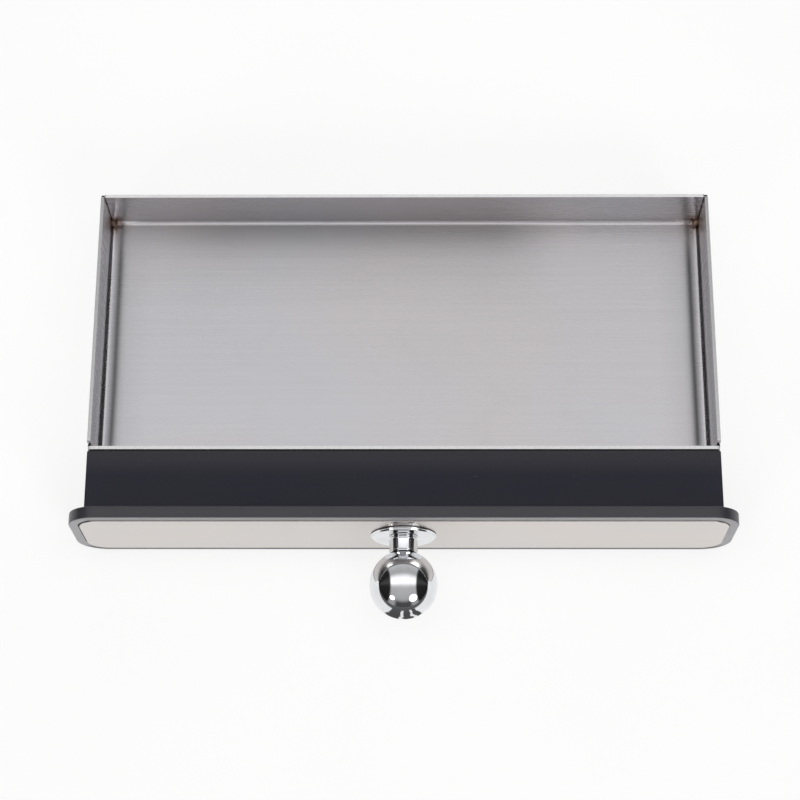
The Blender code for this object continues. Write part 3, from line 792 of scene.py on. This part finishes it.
def weld_bead(name, cad_name, rng):
    """A puddle in the corner relief, and a rippled bead that climbs the outside of the seam from it."""
    low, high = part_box("tray_pan")
    weld = middle_of(cad_name)
    rear = weld.y > (low.y + high.y) / 2
    side_x = 1.0 if weld.x > 0 else -1.0
    side_y = 1.0 if rear else -1.0
    corner = Vector((high.x if side_x > 0 else low.x, high.y if rear else low.y, 0.0))

    def inside(dx, dy):
        return Vector((corner.x - side_x * dx, corner.y - side_y * dy, 0.0))

    radius = 1.85 * MM
    puddle = inside(2.15 * MM, 2.15 * MM)
    puddle_z = low.z + 2.0 * MM
    if rear:
        bead = Vector((SHEET / 2 + SEAM, BEAD_DEPTH - SEAM, 0.0))
        foot = inside(bead.x, bead.y)
        top = high.z - 0.25 * MM
    else:
        bead = Vector((0.72 * MM, 0.95 * MM, 0.0))
        foot = inside(SHEET / 2, 2.4 * MM)
        top = high.z - 2.0 * MM
    rows, sides = 150, 24
    ripple_pitch, least = 0.8 * MM, 0.02 * MM
    bottom = puddle_z - radius * 0.995
    rings = []
    for i in range(rows + 1):
        t = i / rows
        z = bottom + (top - bottom) * t
        near = (z - puddle_z) / radius
        climb = min(1.0, max(0.0, near))
        # Thicker at each ripple, and closed at the top
        ripple = abs(math.sin((z - bottom) / ripple_pitch * math.pi))
        closing = min(1.0, max(0.05, (1 - t) / 0.02))
        thin = bead * (0.86 + 0.12 * ripple + 0.04 * (rng.random() - 0.5)) * closing
        reach = max(radius * math.sqrt(max(0.0, 1 - near * near)) * (1 - climb**2), least)
        wide, deep = max(reach, thin.x * climb), max(reach, thin.y * climb)
        centre = puddle.lerp(foot, climb**2)
        ring = []
        for k in range(sides):
            angle = math.tau * k / sides
            spot = Vector((math.cos(angle), math.sin(angle), 0.0))
            wave = noise.noise(spot * 2.4 + Vector((side_x * 7, side_y * 5, z / MM * 1.1)))
            out = Vector((spot.x * wide, spot.y * deep, 0.0)) * (1 + 0.06 * wave)
            ring.append(Vector((centre.x, centre.y, z)) + out)
        rings.append(ring)
    made = link(name, mesh_from(name, loft(rings)))
    return settle(made, sharp_degrees=70)


# Block


def make_block():
    low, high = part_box("front_block")
    middle = (low + high) / 2
    corner_radius, corner_steps = 1.0 * MM, 8
    plan = [(low.x, low.y), (high.x, low.y)]
    for x, start in ((high.x - corner_radius, 0), (low.x + corner_radius, 90)):
        plan += arc((x, high.y - corner_radius), corner_radius, start, start + 90, corner_steps)
    rings = [[Vector((x, y, z)) for x, y in plan] for z in (low.z, high.z)]
    block = link("block_body", mesh_from("block_body", loft(rings)))
    soften(block, 0.7 * MM, 4)

    # Cells that are open to the front
    wall, rib, count = 3.0 * MM, 2.6 * MM, 11
    pitch = (high.x - low.x - 2 * wall + rib) / count
    size = Vector((pitch - rib, high.y - low.y, high.z - low.z - 2 * wall))
    bm = bmesh.new()
    for i in range(count):
        centre = Vector((middle.x + (i - (count - 1) / 2) * pitch, middle.y - wall, middle.z))
        place = Matrix.Translation(centre) @ Matrix.Diagonal((*size, 1.0))
        bmesh.ops.create_cube(bm, size=1.0, matrix=place)
    others = [boolean(block, link("cells", mesh_from("cells", bm)))]

    # Posts for the bezel's screws, bosses for the tray's screws, and the holes in them
    bezel_screws = [middle_of(f"bezel_screw_{i}").x for i in SCREWS]
    tray_screws = [middle_of(f"tray_screw_{i}").x for i in SCREWS]
    back = high.y - wall / 2
    for places, radius, low_y, high_y, operation in (
        (bezel_screws, 4.6 * MM, low.y + 0.3 * MM, back, "UNION"),
        (tray_screws, 5.4 * MM, back - 9.5 * MM, back, "UNION"),
        (bezel_screws, 3.0 * MM, low.y - 1.0 * MM, low.y + 11.5 * MM, "DIFFERENCE"),
        (tray_screws, 3.6 * MM, high.y - 7.8 * MM, high.y + 1.0 * MM, "DIFFERENCE"),
    ):
        for x in places:
            rod = rod_cutter(radius, x, middle.z, low_y, high_y, 40)
            others.append(boolean(block, rod, operation))
    return settle(block, others, 30)


# Bezel and face plate


def grain_upright(mesh):
    """UVs in metres for a plate that faces the front, brushed along X."""
    layer = mesh.uv_layers.new(name=GRAIN_MAP)
    for loop in mesh.loops:
        p = mesh.vertices[loop.vertex_index].co
        layer.data[loop.index].uv = (p.z + p.y, p.x)


def make_bezel():
    low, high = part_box("bezel_frame")
    width, height = high.x - low.x, high.z - low.z
    middle_z = (low.z + high.z) / 2
    front, back = low.y, high.y
    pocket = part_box("tape_upper")[1].y + 0.3 * MM
    edge, lip = 0.55 * MM, 0.1 * MM
    rings = []

    def ring(inset, y):
        rings.append(outline(width - 2 * inset, height - 2 * inset, BEZEL_CORNER - inset, y, middle_z))

    for fall, rise in quarter(4):
        ring(edge * rise, back - edge * fall)
    for fall, rise in quarter(4):
        ring(edge * fall, front + edge * rise)
    for fall, rise in quarter(3):
        ring(BEZEL_RIM - lip * rise, front + lip * fall)
    ring(BEZEL_RIM, pocket)
    bezel = link("bezel_body", mesh_from("bezel_body", loft(rings)))

    # Countersunk holes in the pocket's floor, and the hole for the knob's screw
    head, shank, cone, above, below = 3.05 * MM, 1.8 * MM, 1.25 * MM, 0.3 * MM, 11.8 * MM
    points = [(0.0, above), (head, above), (head, 0.0), (shank, -cone), (shank, -below), (0.0, -below)]
    cutters = []
    for i in SCREWS:
        sink = link("sink", turned_mesh("sink", points, 40, False))
        place = Matrix.Translation((middle_of(f"bezel_screw_{i}").x, pocket, middle_z))
        sink.data.transform(place @ FACING_FRONT)
        cutters.append(boolean(bezel, sink))
    cutters.append(boolean(bezel, rod_cutter(KNOB_BORE, 0.0, middle_z, front - 5 * MM, back + 5 * MM, 40)))
    return settle(bezel, cutters)


def make_plate():
    low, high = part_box("face_plate")
    width, height = high.x - low.x, high.z - low.z + 2 * SNUG
    middle_z = (low.z + high.z) / 2
    corner = BEZEL_CORNER - BEZEL_RIM - INLAY_GAP + SNUG
    edge = 0.12 * MM
    rings = [outline(width, height, corner, high.y, middle_z)]
    for fall, rise in quarter(3):
        inset = edge * fall
        y = low.y + edge * rise
        rings.append(outline(width - 2 * inset, height - 2 * inset, corner - inset, y, middle_z))
    plate = link("plate_body", mesh_from("plate_body", loft(rings)))
    plate.data.transform(Matrix.Translation((OFF_CENTRE, 0.0, 0.0)))
    cutter = boolean(plate, rod_cutter(KNOB_BORE, 0.0, middle_z, low.y - 5 * MM, high.y + 5 * MM, 40))
    settle(plate, [cutter])
    grain_upright(plate.data)
    return plate


# Knob


def make_knob():
    """The rose, collar, neck and ball. Heights run out from the face plate, as in the CAD."""
    face_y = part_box("face_plate")[0].y
    axis = middle_of("knob_ball")
    place = Matrix.Translation((axis.x, face_y, axis.z)) @ FACING_FRONT

    def span(name):
        low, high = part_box(name)
        return face_y - high.y, face_y - low.y, (high.x - low.x) / 2

    def ringed(name, points, steps):
        return turned(name, points, place, steps, closed=True, sharp_degrees=50)

    low, high, radius = span("knob_rose")
    flange, crown, shoulder, rim, foot = 0.45 * MM, 13.35 * MM, 0.65 * MM, 0.25 * MM, 0.1 * MM
    points = [(KNOB_BORE, high), (crown, high)]
    points += arc((crown, high - shoulder), shoulder, 90, 8, 10)[1:]
    points += [(crown + 0.7 * MM, low + flange + foot)]
    points += arc((radius - rim, low + flange - rim), rim, 90, 0, 6)
    points += [(radius, low + foot), (radius - foot, low), (KNOB_BORE, low)]
    rose = ringed("rose_body", points, 160)

    low, high, radius = span("knob_collar")
    low -= CLOSE_UP
    corners = [(KNOB_BORE, high), (radius, high), (radius, low), (KNOB_BORE, low)]
    collar = ringed("collar_body", rounded_profile(corners, 0.35 * MM, 5), 128)

    low, high, radius = span("knob_neck")
    low -= CLOSE_UP
    ring_radius, ring_height, edge, waist, foot = 6.35 * MM, 1.0 * MM, 0.3 * MM, 6.2 * MM, 0.2 * MM
    ring_low, edge_radius = high - ring_height, ring_radius - edge
    points = [(KNOB_BORE, high), (edge_radius, high)]
    points += arc((edge_radius, high - edge), edge, 90, 0, 8)[1:]
    points += arc((edge_radius, ring_low + edge), edge, 0, -70, 6)[1:]
    flare_steps = 16
    for i in range(flare_steps + 1):
        share = i / flare_steps
        points.append((waist + (radius - waist) * share**2, ring_low - share * (ring_low - low - foot)))
    points += [(radius - 0.3 * foot, low + 0.3 * foot), (radius - foot, low), (KNOB_BORE, low)]
    neck = ringed("neck_body", points, 128)

    _, high, radius = span("knob_ball")
    centre = high - radius
    flat_radius, hole_depth = 6.0 * MM, 13.0 * MM
    flat = centre - math.sqrt(radius**2 - flat_radius**2)
    points = arc((0.0, centre), radius, 90, -math.degrees(math.acos(flat_radius / radius)), 72)
    points[0] = (0.0, high)
    points += [(KNOB_BORE, flat), (KNOB_BORE, flat + hole_depth), (0.0, flat + hole_depth)]
    ball = turned("ball_body", points, place, 160, sharp_degrees=60)
    return rose, collar, neck, ball


# Fasteners that show


def socket_screw(name, cad_name, shank, head, head_height, length):
    """A round-headed screw with a hex socket, pointing its head to the rear."""
    dome, foot, point, socket_radius = head_height * 0.6, 0.12 * MM, 0.5 * MM, head * 0.42
    points = [(0.0, head_height)]
    points += arc((head - dome, head_height - dome), dome, 90, 0, 10)
    points += [(head, foot), (head - foot, 0.0), (shank, 0.0)]
    points += [(shank, -length + point), (shank - point, -length), (0.0, -length)]
    made = link(name, turned_mesh(name, points, 64, False))
    bm = bmesh.new()
    bmesh.ops.create_cone(
        bm,
        cap_ends=True,
        segments=6,
        radius1=socket_radius,
        radius2=socket_radius,
        depth=head_height * 1.2,
        matrix=Matrix.Translation((0.0, 0.0, head_height)),
    )
    socket = boolean(made, link("socket", mesh_from("socket", bm)))
    soften(made, 0.08 * MM, 2)
    settle(made, [socket])
    middle, high = middle_of(cad_name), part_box(cad_name)[1]
    place = Matrix.Translation((middle.x, high.y - head_height, middle.z))
    made.data.transform(place @ FACING_REAR)
    return made


def washer(name, cad_name, outer, bore):
    low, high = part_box(cad_name)
    middle, thickness = middle_of(cad_name), high.y - low.y
    points = [(bore, thickness), (outer, thickness), (outer, 0.0), (bore, 0.0)]
    place = Matrix.Translation((middle.x, low.y, middle.z)) @ FACING_REAR
    return turned(name, rounded_profile(points, 0.12 * MM), place, 64, closed=True, sharp_degrees=50)


# Studio


def floor_plane(tilt, pivot, ball):
    """A wide pale floor that touches the bezel's lower edge and the pan's rear bend.

    Mirror images of it show a dark strip in front of the ball, with two light gaps, and a dark far end.
    """
    bm = bmesh.new()
    bmesh.ops.create_grid(bm, x_segments=40, y_segments=40, size=3.0)
    made = link("studio_floor", mesh_from("studio_floor", bm))
    made.matrix_world = Matrix.Translation(pivot) @ Matrix.Rotation(tilt, 4, "X")
    paint, tree, shader = material("studio_paper", {"Roughness": 0.9})
    here = position(tree)
    x, y, _ = split(tree, here)
    mottle = cloud(tree, here, 5.0, 2.0)
    fibre = cloud(tree, here, 900.0, 2.0)
    colour = mix(tree, stretched(tree, mottle), (0.235, 0.235, 0.235, 1.0), (0.255, 0.255, 0.255, 1.0))

    # Painted reflections: rays other than camera rays see a dark strip in front of the ball and a dark far
    # end, standing in for a dark screen and room
    across = varied(tree, x, cloud(tree, here, 60.0, 2.0), 1.5 * MM, 0.35, 0.65)
    ahead = maths(tree, "SUBTRACT", ball.y - pivot.y, y)
    width = maths(tree, "MULTIPLY_ADD", ahead, -0.42, size_of(tree, across))
    strip = times(
        tree,
        remap(tree, width, 8 * MM, 11 * MM, 1.0, 0.0),
        remap(tree, ahead, 12 * MM, 16 * MM),
    )
    for gap_x, slope in ((-1.5 * MM, -0.03), (4.5 * MM, 0.24)):
        off = maths(tree, "SUBTRACT", maths(tree, "MULTIPLY_ADD", ahead, -slope, across), gap_x)
        off = maths(tree, "MULTIPLY_ADD", ahead, -0.035, size_of(tree, off))
        strip = times(tree, strip, remap(tree, off, 0.2 * MM, 1.6 * MM))
    far = remap(tree, ahead, 90 * MM, 150 * MM)
    unseen = maths(tree, "SUBTRACT", 1.0, node(tree, "LightPath").outputs["Is Camera Ray"])
    dim = times(tree, unseen, times(tree, maths(tree, "MAXIMUM", strip, far), 0.93))
    lit = maths(tree, "SUBTRACT", 1.0, dim)
    wire(tree, shader, dimmed(tree, colour, lit), relief=bump(tree, fibre, 0.05, 0.1 * MM))
    shader.inputs["Emission Color"].default_value = (1.0, 1.0, 0.995, 1.0)
    tree.links.new(times(tree, lit, 0.785), shader.inputs["Emission Strength"])
    made.data.materials.append(paint)


def sky():
    """The studio round the object: a bright ceiling, dark side walls, two windows, a dark screen in front."""
    world = bpy.data.worlds.new("studio")
    bpy.context.scene.world = world
    world.use_nodes = True
    tree = world.node_tree
    background = tree.nodes["Background"]
    direction = node(tree, "TexCoord").outputs["Generated"]
    x, y, z = split(tree, direction)
    aside = size_of(tree, x)
    lean = maths(tree, "DEGREES", maths(tree, "ARCTAN2", y, z))
    brightest = max(level for _, level in SKY_LEVELS)
    stops = [(degrees, level / brightest) for degrees, level in SKY_LEVELS]
    level = times(tree, curve(tree, lean, stops), brightest)

    side_walls = remap(tree, aside, 0.63, 0.73)
    level = times(tree, level, maths(tree, "MULTIPLY_ADD", side_walls, -0.96, 1.0))

    ahead = times(tree, remap(tree, z, 0.16, 0.46, 1.0, 0.0), remap(tree, y, -0.9, -0.6, 1.0, 0.0))
    screen = times(tree, remap(tree, aside, 0.30, 0.48, 1.0, 0.0), ahead)
    level = times(tree, level, maths(tree, "MULTIPLY_ADD", screen, -0.8, 1.0))

    for towards, rim, full, strength in WINDOWS:
        aim = Vector(towards).normalized()
        facing = node(tree, "VectorMath", {0: direction, 1: aim}, operation="DOT_PRODUCT").outputs["Value"]
        level = maths(tree, "ADD", level, remap(tree, facing, rim, full, 0.0, strength))
    tree.links.new(level, background.inputs["Strength"])
    background.inputs["Color"].default_value = (0.995, 0.99, 1.0, 1.0)
    seen = node(tree, "Background", {"Color": (0.985, 0.985, 0.985, 1.0), "Strength": 1.0})
    path = node(tree, "LightPath").outputs["Is Camera Ray"]
    both = node(tree, "MixShader", {0: path, 1: background.outputs[0], 2: seen.outputs[0]})
    tree.links.new(both.outputs[0], tree.nodes["World Output"].inputs["Surface"])


def camera():
    """From the front, about 70 degrees above the table and nearly square on."""
    elevation = math.radians(69.967)
    yaw = math.radians(-1.494)
    roll = math.radians(-1.426)
    aside, back, above = 0.006567, 0.415245, 0.86101  # the eye, from the middle of the pan's rear rim
    forward = Vector((
        math.sin(yaw) * math.cos(elevation),
        math.cos(yaw) * math.cos(elevation),
        -math.sin(elevation),
    ))
    level_right = Vector((math.cos(yaw), -math.sin(yaw), 0.0))
    level_up = level_right.cross(forward)
    right = math.cos(roll) * level_right + math.sin(roll) * level_up
    up = -math.sin(roll) * level_right + math.cos(roll) * level_up
    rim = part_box("tray_pan")[1]
    data = bpy.data.cameras.new("camera")
    data.sensor_width = 36.0
    data.lens = 92.40
    data.clip_start = 0.01
    data.clip_end = 20.0
    made = bpy.data.objects.new("camera", data)
    bpy.context.scene.collection.objects.link(made)
    turn = Matrix((right, up, -forward)).transposed().to_4x4()
    made.matrix_world = Matrix.Translation((aside, rim.y - back, rim.z + above)) @ turn
    bpy.context.scene.camera = made


camera()
rng = random.Random(7)
pan_finish = pan_material()
weld_finish = weld_material()
chrome_finish = chrome_material()
steel_finish = turned_metal("screw_steel_turned", SCREW_STEEL, roughness=0.28, stain=(0.36, 0.35, 0.34))
brass_finish = turned_metal("brass_turned", BRASS, roughness=0.32, stain=(0.40, 0.27, 0.12))

# The sheet, whose rims show their cut edges, and its welds
pan_low, pan_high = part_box("tray_pan")
pan = make_pan()
dress(pan, pan_finish, "brushed_sheet", "tray", "tray_pan")
pan.data.materials.append(cut_edge_material())
for face in pan.data.polygons:
    if face.normal.z > 0.35 and face.center.z > pan_high.z - 0.5 * MM:
        face.material_index = 1
for place in ("rear_left", "rear_right", "front_left", "front_right"):
    bead = weld_bead(f"bead_{place}", f"weld_{place}", rng)
    dress(bead, weld_finish, "weld_metal", "tray", f"weld_{place}")

# The block, the bezel and its inlay
rear_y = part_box("front_block")[1].y
block_finish = black_material(
    "block_satin", BLOCK_BLACK, roughness=0.42, ior=1.36, edge=0.3, rear_painted_light=rear_y
)
dress(make_block(), block_finish, "black_block", "tray", "front_block")
bezel_low, bezel_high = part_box("bezel_frame")
bezel_finish = black_material(
    "bezel_satin", BEZEL_BLACK, roughness=0.36, ior=1.5, edge=0.6, face=(BEZEL_FRONT, bezel_low.y)
)
dress(make_bezel(), bezel_finish, "black_bezel", "tray", "bezel_frame")
dress(make_plate(), plate_material(), "brushed_plate", "tray", "face_plate")

# The knob
rose, collar, neck, ball = make_knob()
dress(rose, chrome_finish, "chrome", "tray", "knob_rose")
dress(collar, chrome_finish, "chrome", "tray", "knob_collar")
dress(neck, chrome_finish, "chrome", "knob", "knob_neck")
dress(ball, chrome_finish, "chrome", "knob", "knob_ball")

# Screws by shank, head, head height and length, and washers by outer and inner radius
for i in SCREWS:
    screw = socket_screw(f"button_screw_{i}", f"tray_screw_{i}", 2.0 * MM, 3.8 * MM, 2.2 * MM, 9.6 * MM)
    dress(screw, steel_finish, "screw_steel", "tray", f"tray_screw_{i}")
    ring = washer(f"flat_washer_{i}", f"tray_washer_{i}", 4.5 * MM, 2.3 * MM)
    dress(ring, steel_finish, "screw_steel", "tray", f"tray_washer_{i}")
screw = socket_screw("machine_screw", "knob_screw", 2.5 * MM, 4.6 * MM, 2.8 * MM, 24.0 * MM)
dress(screw, steel_finish, "screw_steel", "tray", "knob_screw")
ring = washer("machine_washer", "knob_washer", 6.0 * MM, KNOB_BORE)
dress(ring, steel_finish, "screw_steel", "tray", "knob_washer")
repaint(["knob_spring_washer", *(f"bezel_screw_{i}" for i in SCREWS)], steel_finish)
repaint([f"{kind}_insert_{i}" for kind in ("bezel", "tray") for i in SCREWS], brass_finish)
repaint(["tape_upper", "tape_lower"], tape_material())

# The floor leans so that it touches the bezel's lower rear edge and the outside of the pan's rear bend
outer_bend = BEND_RADIUS + SHEET / 2
contact = Vector((0.0, bezel_high.y - 0.4 * MM, bezel_low.z))
bend_centre = Vector((0.0, pan_high.y - outer_bend, pan_low.z + outer_bend))
reach = bend_centre - contact
tilt = math.atan2(reach.z, reach.y) - math.asin(outer_bend / reach.length)
floor_plane(tilt, contact, middle_of("knob_ball"))
sky()
bpy.context.scene.view_settings.view_transform = "Standard"
